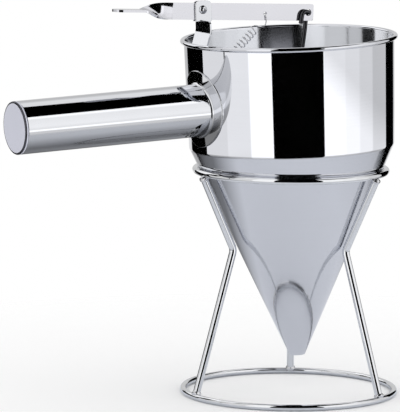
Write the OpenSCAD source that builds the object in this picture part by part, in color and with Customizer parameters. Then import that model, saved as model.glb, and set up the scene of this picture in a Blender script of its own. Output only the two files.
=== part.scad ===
// Batter dispenser: a polished funnel with a lever-worked outlet valve, resting in a wire stand.
// The stand's axis is Z, its lowest point is z = 0, and the handle points towards -X.

/* [Bowl] */
// Outside diameter over the rolled rim
rim_d = 145; // [140:1:150]
// Height of the rim above the table
rim_top = 241; // [238:0.2:246]
// Diameter of the rolled rim's curl
roll_d = 3.2; // [2.8:0.1:4]
// Draft of the upper wall, in degrees
wall_draft = 1.15; // [0.5:0.05:2]
// Half angle of the cone, in degrees
cone_angle = 24; // [23.5:0.25:24.5]
// Radius of the bend between the wall and the cone
bend_r = 5; // [3:0.5:10]
// Outside diameter of the outlet
outlet_d = 10.4; // [9.6:0.2:12]
// Height of the outlet above the table
outlet_z = 25.3; // [24:0.1:27]
// Thickness of the bowl's sheet
sheet = 0.8; // [0.7:0.1:1]

/* [Stand] */
// Wire of the two rings
ring_wire = 4.3; // [4:0.1:5]
// Rod of the three legs
leg_rod = 5; // [4.5:0.1:5.5]
// Diameter of the base ring, wire centre to wire centre
base_ring_d = 142; // [136:1:150]
// Height of the seat ring's centre above the table
seat_z = 151; // [149:0.5:153]
// Distance of the legs' bends from the stand's axis
knee_r = 43; // [42.6:0.2:48]
// Height of the legs' bends
knee_z = 99.4; // [95:0.2:100]
// Lean of the funnel in its ring, from the handle's weight, in degrees
lean = 2.4; // [0:0.05:2.5]

/* [Handle] */
// Outside diameter of the handle tube
handle_d = 34.8; // [30:0.2:38]
// Height of the handle's axis
handle_z = 196.9; // [195:0.1:200]
// Distance from the bowl's axis to the handle's end
handle_reach = 203.5; // [180:0.5:225]
// Diameter of the flange on the bowl's wall
flange_d = 51; // [50:1:56]
// Height of the flange's centre above the handle's axis
flange_rise = 0.8; // [0:0.1:1]
// Radius of the fillet between the tube and the flange
flare = 1.6; // [1:0.2:3]

/* [Lever and valve] */
// Width of the lever's strip
lever_w = 11; // [10:0.1:12]
// Thickness of the lever's strip
lever_t = 1.6; // [1.4:0.1:2]
// Slope of the lever with the valve closed, in degrees
lever_slope = 4.8; // [3:0.1:6]
// Distance of the pivot inside the rim's edge
pivot_inset = 7.4; // [7:0.1:7.8]
// Height of the pivot above the rim
pivot_rise = 22.5; // [21:0.1:24]
// Height of the pivot above the middle of the lever's strip
pivot_offset = 1.3; // [0:0.1:2]
// Length from the pivot to the thumb pad's tip
thumb_reach = 65; // [55:1:75]
// Length from the pivot to the lift rod's hole
rod_reach = 80.3; // [79:0.1:82]
// Length from the pivot to the spring's hole
spring_reach = 47.5; // [47:0.5:49]
// Diameter of the lift rod
rod_d = 3; // [2.6:0.1:3.2]
// Height of the lift rod's bend out of the bowl's axis
rod_bend_z = 178; // [160:1:190]
// Outside diameter of the return spring
spring_d = 6.3; // [5:0.1:6.5]
// Wire of the return spring
spring_wire = 0.8; // [0.6:0.1:1]
// Number of the spring's coils
spring_coils = 15; // [12:1:16]

/* [Hidden] */
$fn = 96;
through = 1;

// Profile of the bowl's sheet: the radius of its outside and inside at a height
wall_r = rim_d / 2 - roll_d + sheet;
draft = tan(wall_draft);
cone = tan(cone_angle);
bend_z = (wall_r - rim_top * draft - outlet_d / 2 + outlet_z * cone) / (cone - draft);
roll_end = -108;
function outer_r(z) = z > bend_z ? wall_r - (rim_top - z) * draft : outlet_d / 2 + (z - outlet_z) * cone;
function inner_r(z) = outer_r(z) - sheet / cos(z > bend_z ? wall_draft : cone_angle);

// The seat ring holds the cone, and the funnel leans about the point where its contact normals meet
seat_gap = 0.3;
seat_r = outer_r(seat_z) + (ring_wire / 2 + seat_gap) / cos(cone_angle);
lean_z = seat_z + outer_r(seat_z) * cone;

// Legs: the rod's centre line, and how far it runs into each ring before it is coped
leg_turns = [180, 60, -60];
foot = [base_ring_d / 2 - 0.9, ring_wire];
knee = [knee_r, knee_z];
leg_top = [seat_r + 2, seat_z - ring_wire / 2];
knee_bend = 7;
foot_run = 0.8;
top_run = 1.2;
weld_r = 3.4;
top_weld_shift = [-0.4, -0.6];
weld_bore = 8;

// Handle
tube_wall = 1;
flange_t = 0.9;
flange_chamfer = 0.4;
flange_seam = 0.03;
cap_t = 2;
cap_edge = 1;
tube_start = outer_r(handle_z + handle_d / 2) + flange_t + flare + 0.3;

// Lever and its pivot. The side gap is on each side of the lever's strip
pivot_x = rim_d / 2 - pivot_inset;
pivot_z = rim_top + pivot_rise;
side_gap = 0.35;
running = 0.05;
twist_span = [21.5, 43.2];
lever_end = rod_reach + 3.9;
lever_corner = 1.2;
rod_hole_d = rod_d + 1.6;
spring_hole_d = 2.4;
spring_hole_drop = 1;

// Bracket: a pad on the wall, a stem past the rim, two ears at the pivot and a lug for the spring.
// The stem is flat, leans inwards over the rim and ends upright under the lever
ear_t = 1.2;
ear_gap = lever_t / 2 + side_gap;
ear_out = ear_gap + ear_t;
ear_span = [5.4, 6.4];
ear_corner = 3;
ear_top = pivot_z + 5.8;
ear_gusset = [0.2, 5.5];
stem_half = 10.3;
stem_corner = 3;
stem_top = pivot_z - pivot_offset - lever_w / 2 - 0.6;
stem_x = pivot_x - 0.7;
stem_fold_z = rim_top + 8;
stem_foot = inner_r(rim_top) - 1.1;
stem_foot_z = [rim_top - 8, rim_top - 3];
pad_z = [rim_top - 31.4, rim_top - 4];
pad_turn = 8.7;
lug_w = 8;
lug_corner = 2;
lug_root = inner_r(pad_z[0]) - 0.4;
lug_tip = lug_root - 10.8;
lug_eye = lug_tip + 4.5;
lug_hole = 2.2;

// Pivot screw: M3 button head, washer and cap nut
screw_d = 3;
screw_end = 0.2;
head_d = 5.7;
head_h = 1.7;
head_rim = 0.3;
socket_d = 2.3;
socket_depth = 1;
washer_d = 6;
washer_t = 0.5;
nut_flats = 5.5;
nut_h = 2.4;
nut_dome_r = nut_flats / 2 - 0.2;

// Seat and stopper: the seat's cone runs between two points of its section
seat_bore = 7;
seat_low = [seat_bore / 2, outlet_z + 3.2];
seat_top = outlet_z + 8;
seat_high = [inner_r(seat_top) - 0.6, seat_top];
stopper_gap = 0.1;
stopper_top = seat_top + 13;
stopper_nose = 1.4;
stopper_cone = 7;
stopper_band = 1.6;
stopper_neck = rod_d / 2 + 1.2;

// Lift rod: its bottom end, its run up to the lever, and the hook through the lever's hole.
// The hook sits a little past the hole's centre, because the hole swings outwards as it rises
rod_y = lever_t / 2 + side_gap + rod_d / 2;
hook_at = on_lever(rod_reach, pivot_offset) + [0.2, 0];
rod_path = [
    [0, 0, seat_top],
    [0, 0, rod_bend_z],
    [hook_at[0] - 1.2, rod_y, hook_at[1] - 10.8],
    [hook_at[0] + 0.3, rod_y, hook_at[1] - 0.1],
    [hook_at[0] - 0.3, -rod_y, hook_at[1] + 0.1],
    [hook_at[0] - 5.4, -rod_y, hook_at[1] + 1.8],
    [hook_at[0] - 7.2, -rod_y, hook_at[1] - 6.9]
];
rod_bends = [0, 20, 10, 2.2, 2.2, 3, 0];

// Return spring: an open coil between the bracket's lug and the lever's second hole
eye = on_lever(spring_reach, pivot_offset + spring_hole_drop);
coil_low = [3.4 - lug_eye, pad_z[0] + 8.7];
coil_high = eye - [8.6, 10.4];
coil_r = (spring_d - spring_wire) / 2;
coil_axis = unit([coil_high[0] - coil_low[0], 0, coil_high[1] - coil_low[1]]);
coil_side = [-coil_axis[2], 0, coil_axis[0]];
coil_length = norm(coil_high - coil_low);
eye_y = lever_t / 2 + 0.3 + spring_wire / 2;
steps_per_coil = 14;
wire_sides = 8;
rod_sides = 24;

function unit(v) = v / norm(v);

// A point of the lever, measured from the pivot towards the lift rod and down
function on_lever(s, drop) = [
    -pivot_x + s * cos(lever_slope) - drop * sin(lever_slope),
    pivot_z - s * sin(lever_slope) - drop * cos(lever_slope)
];

// Points of an arc about c
function arc(c, r, from, to, n) = [
    for (i = [0 : n]) let (turn = from + (to - from) * i / n) c + r * [cos(turn), sin(turn)]
];

// A point or a vector of the plane y = 0, from its X and Z
function in_plane(p) = [p[0], 0, p[1]];

// The points of a round bend at the corner q of the path p, q, s
function bend_at(p, q, s, r) =
    let (u = unit(q - p), v = unit(s - q), turn = acos(u * v), side = unit(v - (u * v) * u))
    let (c = q - u * r * tan(turn / 2) + side * r, n = ceil(turn / 9))
        [for (i = [0 : n]) c - side * r * cos(turn * i / n) + u * r * sin(turn * i / n)];

// A path along corners, with a bend of its own radius at each inner corner
function bent_path(path, bends) = [
    for (i = [0 : len(path) - 1])
        each (i == 0 || i == len(path) - 1
            ? [path[i]]
            : bend_at(path[i - 1], path[i], path[i + 1], bends[i]))
];

// A smooth run through set points, four steps between each two
function smooth_run(p) = [
    for (i = [0 : len(p) - 2], k = [0 : 3])
        let (a = p[max(i - 1, 0)], b = p[i], c = p[i + 1], d = p[min(i + 2, len(p) - 1)], t = k / 4)
            0.5 * (2 * b + (c - a) * t + (2 * a - 5 * b + 4 * c - d) * pow(t, 2)
                   + (3 * b - a - 3 * c + d) * pow(t, 3))
];

// A wire swept along close points, its section carried on from point to point
module swept_wire(points, d, sides) {
    n = len(points);
    tangents = [for (i = [0 : n - 1]) unit(points[min(i + 1, n - 1)] - points[max(i - 1, 0)])];
    normals = [for (i = 0, u = unit(cross(tangents[0], [0.2, 0.9, 0.3])); i < n;
                    i = i + 1, u = i < n ? unit(u - (u * tangents[i]) * tangents[i]) : u) u];
    rings = [for (i = [0 : n - 1], k = [0 : sides - 1])
        points[i] + d / 2 * (cos(360 * k / sides) * normals[i]
                             + sin(360 * k / sides) * cross(tangents[i], normals[i]))];
    walls = [for (i = [0 : n - 2], k = [0 : sides - 1]) let (next = (k + 1) % sides)
        [i * sides + k, i * sides + next, (i + 1) * sides + next, (i + 1) * sides + k]];
    start_face = [for (k = [sides - 1 : -1 : 0]) k];
    end_face = [for (k = [0 : sides - 1]) (n - 1) * sides + k];
    polyhedron(rings, concat([start_face], walls, [end_face]));
}

// A straight rod between two points
module rod_between(a, b, d) {
    v = b - a;
    translate(a)
        rotate([0, acos(v[2] / norm(v)), atan2(v[1], v[0])])
            cylinder(d = d, h = norm(v));
}

// Puts a piece of the funnel where it rests, leaning in the seat ring
module leaned() {
    translate([0, 0, lean_z])
        rotate([0, -lean, 0])
            translate([0, 0, -lean_z])
                children();
}

// Turns a shape drawn along +Z to lie along the handle, from the distance x outwards
module along_handle(x) {
    leaned()
        translate([-x, 0, handle_z])
            rotate([0, -90, 0])
                children();
}

// Turns a shape drawn along +Z to lie on the pivot's axis, +Z towards -Y
module on_pivot() {
    leaned()
        translate([-pivot_x, 0, pivot_z])
            rotate([90, 0, 0])
                children();
}

// Places a shape drawn in the lever's own frame: the pivot at the origin, the lift rod towards +X
module in_lever_frame() {
    leaned()
        translate([-pivot_x, 0, pivot_z])
            rotate([0, lever_slope, 0])
                children();
}

module base_ring_body() {
    translate([0, 0, ring_wire / 2])
        rotate_extrude()
            translate([base_ring_d / 2, 0]) circle(d = ring_wire);
}

module seat_ring_body() {
    translate([0, 0, seat_z])
        rotate_extrude()
            translate([seat_r, 0]) circle(d = ring_wire);
}

module base_ring() {
    color("silver") base_ring_body();
}

module seat_ring() {
    color("silver") seat_ring_body();
}

// A leg, bent once, its ends coped to the rings that they are welded to
module leg(turn) {
    bottom = foot + unit(foot - knee) * foot_run;
    top = leg_top + unit(leg_top - knee) * top_run;
    color("silver")
        rotate([0, 0, turn])
            difference() {
                swept_wire(
                    bent_path([in_plane(bottom), in_plane(knee), in_plane(top)], [0, knee_bend, 0]),
                    leg_rod, rod_sides
                );
                base_ring_body();
                seat_ring_body();
            }
}

module leg_handle_side() {
    leg(leg_turns[0]);
}

module leg_left() {
    leg(leg_turns[1]);
}

module leg_right() {
    leg(leg_turns[2]);
}

// The three weld beads round one end of the legs
module welds(end, shift) {
    along = unit(end - knee) * weld_bore;
    color("gainsboro")
        for (turn = leg_turns)
            rotate([0, 0, turn])
                difference() {
                    translate(in_plane(end + shift)) sphere(r = weld_r);
                    rod_between(in_plane(end - along), in_plane(end + along), leg_rod);
                    base_ring_body();
                    seat_ring_body();
                }
}

module base_welds() {
    welds(foot, [0, 0]);
}

module seat_welds() {
    welds(leg_top, top_weld_shift);
}

// The bowl's sheet in section: the cone, the bend, the wall and the rolled rim
module bowl_profile() {
    bend_mid = -(cone_angle + wall_draft) / 2;
    bend_c = [outer_r(bend_z), bend_z]
        - bend_r / cos((cone_angle - wall_draft) / 2) * [cos(bend_mid), sin(bend_mid)];
    roll_c = [rim_d / 2 - roll_d / 2, rim_top - roll_d / 2];
    polygon(concat(
        [[outer_r(outlet_z), outlet_z]],
        arc(bend_c, bend_r, -cone_angle, -wall_draft, 6),
        arc(roll_c, roll_d / 2 - sheet, 180, roll_end, 24),
        arc(roll_c, roll_d / 2, roll_end, 180, 24),
        arc(bend_c, bend_r - sheet, -wall_draft, -cone_angle, 6),
        [[inner_r(outlet_z), outlet_z]]
    ));
}

module bowl() {
    color("whitesmoke")
        leaned()
            rotate_extrude($fn = 180) bowl_profile();
}

// The turned seat pressed into the cone's tip
module outlet_seat() {
    color("lightgray")
        leaned()
            rotate_extrude()
                polygon([
                    [seat_bore / 2, outlet_z], [inner_r(outlet_z), outlet_z],
                    [inner_r(seat_top), seat_top], seat_high, seat_low
                ]);
}

// The valve plug, bored for the lift rod's end
module stopper() {
    line = unit(seat_high - seat_low);
    low = seat_low + stopper_gap * [-line[1], line[0]] - stopper_nose * line;
    high = low + stopper_cone * line;
    band = high + [0, stopper_band];
    color("gainsboro")
        leaned()
            difference() {
                rotate_extrude()
                    polygon(concat(
                        [[0, low[1]], low, high, band],
                        arc([stopper_neck, band[1]], band[0] - stopper_neck, 0, 60, 8),
                        [[stopper_neck, stopper_top], [0, stopper_top]]
                    ));
                translate([0, 0, seat_top]) cylinder(d = rod_d, h = stopper_top - seat_top + through);
            }
}

module lift_rod() {
    color("silver")
        leaned()
            swept_wire(bent_path(rod_path, rod_bends), rod_d, rod_sides);
}

// A point of the flange: rho and turn about the handle's axis, off the bowl's wall by rise.
// Beyond the fillet the disc's middle moves up
function on_wall(rho, turn, rise) =
    let (inside = handle_d / 2 + flare, share = max(0, rho - inside) / (flange_d / 2 - inside))
    let (y = rho * cos(turn), z = handle_z + rho * sin(turn) + flange_rise * share)
        [-sqrt(pow(outer_r(z), 2) - y * y) - rise, y, z];

// The flange that carries the tube: a disc curved to the wall, with a fillet to the tube
module handle_flange() {
    turns = 64;
    tube_r = handle_d / 2;
    bore_r = tube_r - tube_wall;
    edge = flange_d / 2;
    back = [for (i = [0 : 3]) [bore_r + (edge - bore_r) * i / 3, flange_seam]];
    face = [[edge, flange_t - flange_chamfer], [edge - flange_chamfer, flange_t]];
    flared = arc([tube_r + flare, flange_t + flare], flare, 270, 180, 8);
    section = concat(back, face, flared);
    n = len(section) + 2;
    points = [for (k = [0 : turns - 1]) let (turn = 360 * k / turns) each concat(
        [for (s = section) on_wall(s[0], turn, s[1])],
        [for (r = [tube_r, bore_r]) [-tube_start, r * cos(turn), handle_z + r * sin(turn)]]
    )];
    faces = [for (k = [0 : turns - 1], i = [0 : n - 1]) let (next = (k + 1) % turns, up = (i + 1) % n)
        [k * n + i, next * n + i, next * n + up, k * n + up]];
    color("whitesmoke")
        leaned()
            polyhedron(points, faces);
}

module handle_tube() {
    length = handle_reach - cap_t - tube_start;
    color("whitesmoke")
        along_handle(tube_start)
            difference() {
                cylinder(d = handle_d, h = length);
                translate([0, 0, -through])
                    cylinder(d = handle_d - 2 * tube_wall, h = length + 2 * through);
            }
}

module handle_end_cap() {
    color("lavender")
        along_handle(handle_reach - cap_t)
            rotate_extrude()
                polygon(concat(
                    [[0, 0], [handle_d / 2, 0]],
                    arc([handle_d / 2 - cap_edge, cap_t - cap_edge], cap_edge, 0, 90, 8),
                    [[0, cap_t]]
                ));
}

// A strip of sheet against the bowl's inner wall, on the handle's side
module wall_strip(half_turn, z0, z1) {
    rotate([0, 0, 180 - half_turn])
        rotate_extrude(angle = 2 * half_turn)
            polygon([
                [inner_r(z0) - ear_t, z0], [inner_r(z0), z0], [inner_r(z1), z1], [inner_r(z1) - ear_t, z1]
            ]);
}

// One ear in outline, X across and Z up, its gusset behind the stem
module ear_outline() {
    back = -pivot_x - ear_span[0];
    front = -pivot_x + ear_span[1];
    low = stem_top - ear_gusset[1];
    polygon(concat(
        [
            [back, stem_top - ear_gusset[0]], [ear_gusset[0] - stem_x, stem_top - ear_gusset[0]],
            [ear_gusset[0] - stem_x, low], [ear_t - stem_x, low], [front, stem_top]
        ],
        arc([front - ear_corner, ear_top - ear_corner], ear_corner, 0, 90, 8),
        arc([back + ear_corner, ear_top - ear_corner], ear_corner, 90, 180, 8)
    ));
}

// The stem's sheet from the side: up the wall, leaning inwards over the rim, then upright
module stem_side() {
    polygon([
        [-stem_foot, stem_foot_z[0]], [-stem_foot, stem_foot_z[1]],
        [-stem_x, stem_fold_z], [-stem_x, stem_top],
        [ear_t - stem_x, stem_top], [ear_t - stem_x, stem_fold_z],
        [ear_t - stem_foot, stem_foot_z[1]], [ear_t - stem_foot, stem_foot_z[0]]
    ]);
}

// The stem from the handle's side, with its two round corners under the lever
module stem_front() {
    corner = stem_half - stem_corner;
    polygon(concat(
        [[-stem_half, stem_foot_z[0]], [stem_half, stem_foot_z[0]]],
        arc([corner, stem_top - stem_corner], stem_corner, 0, 90, 8),
        arc([-corner, stem_top - stem_corner], stem_corner, 90, 180, 8)
    ));
}

module stem() {
    intersection() {
        rotate([90, 0, 0])
            linear_extrude(2 * stem_half + through, center = true) stem_side();
        translate([-stem_foot - through, 0, 0])
            rotate([90, 0, 90])
                linear_extrude(stem_foot) stem_front();
    }
}

// The spring's lug in outline, bent out level from the pad's lower edge
module lug_outline() {
    half = lug_w / 2;
    polygon([
        [-lug_root, -half], [-lug_tip - lug_corner, -half], [-lug_tip, lug_corner - half],
        [-lug_tip, half - lug_corner], [-lug_tip - lug_corner, half], [-lug_root, half]
    ]);
}

// The pressed bracket: the pad, the stem with its two ears, and the spring's lug
module lever_bracket() {
    color("gainsboro")
        difference() {
            leaned() {
                wall_strip(pad_turn, pad_z[0], pad_z[1]);
                stem();
                for (y = [-ear_out, ear_gap])
                    translate([0, y + ear_t, 0])
                        rotate([90, 0, 0])
                            linear_extrude(ear_t) ear_outline();
                translate([0, 0, pad_z[0]])
                    linear_extrude(ear_t) lug_outline();
            }
            on_pivot() cylinder(d = screw_d + 2 * running, h = 4 * ear_out, center = true);
            leaned()
                translate([-lug_eye, 0, pad_z[0] - through])
                    cylinder(d = lug_hole, h = ear_t + 2 * through);
        }
}

// The button head's dome, over its flat rim
module screw_head() {
    rise = head_h - head_rim;
    dome_r = (pow(head_d / 2, 2) + pow(rise, 2)) / (2 * rise);
    dome_from = acos((dome_r - rise) / dome_r);
    rotate_extrude()
        polygon(concat(
            [[0, 0], [head_d / 2, 0]],
            arc([0, head_h - dome_r], dome_r, 90 - dome_from, 90, 10)
        ));
}

module pivot_screw() {
    shank_start = ear_out + washer_t + nut_h;
    color("gray")
        on_pivot()
            difference() {
                union() {
                    translate([0, 0, -shank_start])
                        cylinder(d = screw_d, h = shank_start + ear_out + screw_end);
                    translate([0, 0, ear_out]) screw_head();
                }
                translate([0, 0, ear_out + head_h - socket_depth])
                    cylinder(d = socket_d, h = socket_depth + through, $fn = 6);
            }
}

module pivot_washer() {
    color("silver")
        on_pivot()
            translate([0, 0, -ear_out - washer_t])
                difference() {
                    cylinder(d = washer_d, h = washer_t);
                    translate([0, 0, -through])
                        cylinder(d = screw_d + 2 * running, h = washer_t + 2 * through);
                }
}

// The cap nut: a hexagon and a dome, tapped from the washer's side
module pivot_nut() {
    color("silver")
        on_pivot()
            translate([0, 0, -ear_out - washer_t])
                rotate([180, 0, 0])
                    difference() {
                        union() {
                            cylinder(d = nut_flats / cos(30), h = nut_h, $fn = 6);
                            translate([0, 0, nut_h])
                                rotate_extrude()
                                    polygon(concat([[0, 0]], arc([0, 0], nut_dome_r, 0, 90, 10)));
                        }
                        translate([0, 0, -through]) cylinder(d = screw_d, h = nut_h + through);
                    }
}

// A hole through the lever's strip
module lever_hole(s, z, d) {
    translate([s, 0, z])
        rotate([90, 0, 0])
            cylinder(d = d, h = 4 * lever_t, center = true);
}

// The lever's upright strip in outline, its corners rounded at the lift rod's end
module strip_outline() {
    low = -pivot_offset - lever_w / 2;
    high = -pivot_offset + lever_w / 2;
    polygon(concat(
        [[-twist_span[0], high], [-twist_span[0], low]],
        arc([lever_end - lever_corner, low + lever_corner], lever_corner, -90, 0, 6),
        arc([lever_end - lever_corner, high - lever_corner], lever_corner, 0, 90, 6)
    ));
}

// The thumb pad in outline, with a round end
module pad_outline() {
    half = lever_w / 2;
    polygon(concat(
        [[-twist_span[1], -half], [-twist_span[1], half]],
        arc([half - thumb_reach, 0], half, 90, 270, 20)
    ));
}

// The lever: an upright strip, a quarter twist and a flat thumb pad
module lever() {
    color("whitesmoke")
        in_lever_frame() {
            difference() {
                translate([0, lever_t / 2, 0])
                    rotate([90, 0, 0])
                        linear_extrude(lever_t) strip_outline();
                lever_hole(0, 0, screw_d + 2 * running);
                lever_hole(spring_reach, -pivot_offset - spring_hole_drop, spring_hole_d);
                lever_hole(rod_reach, -pivot_offset, rod_hole_d);
            }
            translate([-twist_span[0], 0, -pivot_offset])
                rotate([0, -90, 0])
                    linear_extrude(twist_span[1] - twist_span[0], twist = 90, slices = 24, $fn = 12)
                        square([lever_w, lever_t], center = true);
            translate([0, 0, -pivot_offset - lever_t / 2])
                linear_extrude(lever_t) pad_outline();
        }
}

// The return spring: an open coil with a hook through the lug and one through the lever
module return_spring() {
    steps = spring_coils * steps_per_coil;
    coil = [for (i = [0 : steps]) let (turn = 360 * i / steps_per_coil)
        in_plane(coil_low) + coil_axis * coil_length * i / steps
            + coil_r * (cos(turn) * coil_side + [0, sin(turn), 0])];
    low_hook = [
        [1.4 - lug_tip, 0, pad_z[0] + 1.4], [1 - lug_tip, 0, pad_z[0] - 0.6],
        [2.6 - lug_eye, 0, pad_z[0] - 2], [0.4 - lug_eye, 0, pad_z[0] - 0.6],
        [-lug_eye, 0, pad_z[0] + 2.4], [-lug_eye, 0, pad_z[0] + 7], coil[0]
    ];
    high_hook = [
        coil[steps], [eye[0] - 7.1, -0.6, eye[1] - 7.5], [eye[0] - 3.5, -1, eye[1] - 8.4],
        [eye[0] - 0.9, -eye_y, eye[1] - 7.8], [eye[0] + 0.2, -eye_y, eye[1] - 5.1],
        [eye[0], -eye_y, eye[1] - 0.6], [eye[0], 0, eye[1]],
        [eye[0], eye_y, eye[1] - 0.7], [eye[0] - 0.4, eye_y, eye[1] - 3.4]
    ];
    color("silver")
        leaned()
            swept_wire(concat(smooth_run(low_hook), coil, smooth_run(high_hook)), spring_wire, wire_sides);
}

base_ring();
seat_ring();
leg_handle_side();
leg_left();
leg_right();
base_welds();
seat_welds();
bowl();
outlet_seat();
handle_flange();
handle_tube();
handle_end_cap();
lever_bracket();
pivot_screw();
pivot_washer();
pivot_nut();
lever();
lift_rod();
stopper();
return_spring();
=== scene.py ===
# %% [markdown]
# # A batter funnel in its wire stand
# The object is a polished steel funnel with a side handle. A thumb lever lifts a rod, which opens a valve in
# the tip. The measured model is already made, so this lesson dresses it: each piece is modelled again, finely
# enough to be a mirror, and gets a steel with its own grain. The measured bodies come first, because every
# new piece rides on one of them.

# %% Load the measured bodies
import math

import bmesh
import bpy
from mathutils import Matrix, Quaternion, Vector, noise


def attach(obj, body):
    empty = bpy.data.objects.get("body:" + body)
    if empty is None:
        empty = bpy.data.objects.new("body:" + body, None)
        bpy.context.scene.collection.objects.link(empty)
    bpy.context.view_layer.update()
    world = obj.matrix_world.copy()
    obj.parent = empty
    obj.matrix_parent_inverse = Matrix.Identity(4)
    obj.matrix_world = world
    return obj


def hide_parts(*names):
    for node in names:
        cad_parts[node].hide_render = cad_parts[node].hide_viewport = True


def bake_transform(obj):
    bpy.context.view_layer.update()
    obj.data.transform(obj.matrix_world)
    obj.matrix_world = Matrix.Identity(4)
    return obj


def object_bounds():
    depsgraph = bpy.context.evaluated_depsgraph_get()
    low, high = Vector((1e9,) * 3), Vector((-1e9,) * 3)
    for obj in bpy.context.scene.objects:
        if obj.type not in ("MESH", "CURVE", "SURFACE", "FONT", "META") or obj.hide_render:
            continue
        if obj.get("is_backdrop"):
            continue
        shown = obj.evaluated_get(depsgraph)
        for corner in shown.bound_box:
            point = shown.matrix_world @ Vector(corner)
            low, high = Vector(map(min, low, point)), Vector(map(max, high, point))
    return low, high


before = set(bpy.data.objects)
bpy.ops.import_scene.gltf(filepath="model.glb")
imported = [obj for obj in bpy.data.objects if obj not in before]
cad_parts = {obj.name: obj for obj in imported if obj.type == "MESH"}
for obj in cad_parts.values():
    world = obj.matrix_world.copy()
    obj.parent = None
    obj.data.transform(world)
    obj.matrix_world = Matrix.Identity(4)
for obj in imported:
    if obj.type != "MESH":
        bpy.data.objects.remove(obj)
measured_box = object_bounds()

print("nodes:", len(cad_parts))

# %% [markdown]
# ## Sizes of the bowl
# Everything is drawn in millimetres, as a metalworker would, and turned into metres when a piece is finished.
# The bowl is one spun sheet: a cone, a crisp bend, a wall with a little draft and a rolled rim. Its outside
# radius is a function of the height, because the flange of the handle has to follow it later.

# %% The bowl's profile as a function
MM = 0.001
SHEET = 0.8
RIM_D = 145.0
RIM_TOP = 241.0
ROLL_D = 3.2
OUTLET_R = 5.2
OUTLET_Z = 25.3
DRAFT = math.radians(1.15)
CONE = math.radians(24)
WALL_R = RIM_D / 2 - ROLL_D + SHEET
BEND_Z = ((WALL_R - RIM_TOP * math.tan(DRAFT) - OUTLET_R + OUTLET_Z * math.tan(CONE))
          / (math.tan(CONE) - math.tan(DRAFT)))


def outside_radius(z):
    """The sheet's outside radius at a height."""
    if z > BEND_Z:
        return WALL_R - (RIM_TOP - z) * math.tan(DRAFT)
    return OUTLET_R + (z - OUTLET_Z) * math.tan(CONE)


def inside_radius(z):
    """The sheet's inside radius at a height."""
    return outside_radius(z) - SHEET / math.cos(DRAFT if z > BEND_Z else CONE)


print("bend at", round(BEND_Z, 2), "mm, wall radius", round(WALL_R, 2), "mm")

# %% [markdown]
# ## The lean
# The handle's weight tips the funnel by 2.4 degrees in its round seat ring, about the point where the ring's
# contact lines meet. All pieces of the funnel are drawn upright, and one matrix leans them. Its inverse goes
# into the materials, so that a turned groove runs level round the funnel and not level with the table.

# %% The matrix that leans the funnel
LEAN = math.radians(2.4)
SEAT_Z = 151.0
LEAN_Z = SEAT_Z + outside_radius(SEAT_Z) * math.tan(CONE)
LEANED = (Matrix.Translation((0, 0, LEAN_Z)) @ Matrix.Rotation(-LEAN, 4, "Y")
          @ Matrix.Translation((0, 0, -LEAN_Z)))
UPRIGHT = Matrix.Identity(4)
print("leans about z =", round(LEAN_Z, 2), "mm")

# %% [markdown]
# ## The camera
# A long lens from far away keeps the rings' ellipses calm, as in a catalogue. The camera looks at a point
# near the middle of the object, and a roll of half a degree about its own view axis levels the picture.

# %% Place the camera
VIEW_AZIMUTH = math.radians(-27.755)
VIEW_HEIGHT = math.radians(7.697)
VIEW_ROLL = math.radians(0.457)
LOOK_AT = Vector((-53.626, 28.220, 125.887)) * MM
towards_camera = Vector((math.sin(VIEW_AZIMUTH) * math.cos(VIEW_HEIGHT),
                         -math.cos(VIEW_AZIMUTH) * math.cos(VIEW_HEIGHT),
                         math.sin(VIEW_HEIGHT)))
camera = bpy.data.objects.new("camera", bpy.data.cameras.new("camera"))
bpy.context.scene.collection.objects.link(camera)
camera.location = LOOK_AT + towards_camera * 2.7
camera.rotation_mode = "QUATERNION"
camera.rotation_quaternion = (towards_camera.to_track_quat("Z", "Y")
                              @ Quaternion((0, 0, 1), VIEW_ROLL))
camera.data.lens = 352.14
camera.data.sensor_width = 36
camera.data.clip_start = 0.1
camera.data.clip_end = 50
bpy.context.scene.camera = camera
print("camera at", [round(x, 3) for x in camera.location])

# %% [markdown]
# ## Three helpers for round work
# Most pieces are turned, spun or bent from wire. A lathe is Blender's spin: an outline of radius and height
# goes round the Z axis, and the last ring merges with the first. A wire is a circle that is extruded and
# carried along a path, ring by ring. Spare rings close to each bend keep the mirror's normals straight on the
# long faces, because a vertex normal is an average of its neighbours.


# %% Arcs, bent paths and smooth paths
def arc(centre, radius, start, end, steps):
    """Points of an arc in a plane, angles in degrees."""
    turns = [math.radians(start + (end - start) * i / steps) for i in range(steps + 1)]
    return [(centre[0] + radius * math.cos(t), centre[1] + radius * math.sin(t)) for t in turns]


def bent(corners, radii, step=6):
    """A path along corners, with a round bend of its own radius at each inner corner."""
    path = [corners[0]]
    for before, corner, after, radius in zip(corners, corners[1:], corners[2:], radii):
        going = (corner - before).normalized()
        leaving = (after - corner).normalized()
        turn = going.angle(leaving)
        side = (leaving - leaving.dot(going) * going).normalized()
        centre = corner - going * radius * math.tan(turn / 2) + side * radius
        steps = max(3, math.ceil(math.degrees(turn) / step))
        path.append(centre - side * radius - going * min(0.3, radius / 4))
        for i in range(steps + 1):
            angle = turn * i / steps
            path.append(centre - side * radius * math.cos(angle) + going * radius * math.sin(angle))
        path.append(path[-1] + leaving * min(0.3, radius / 4))
    return path + [corners[-1]]


def smooth(points, steps=7):
    """A smooth run through set points."""
    run = []
    for i in range(len(points) - 1):
        a, b, c = points[max(i - 1, 0)], points[i], points[i + 1]
        d = points[min(i + 2, len(points) - 1)]
        for k in range(steps):
            t = k / steps
            run.append(0.5 * (2 * b + (c - a) * t + (2 * a - 5 * b + 4 * c - d) * t ** 2
                              + (3 * b - a - 3 * c + d) * t ** 3))
    return run + [points[-1]]


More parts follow.
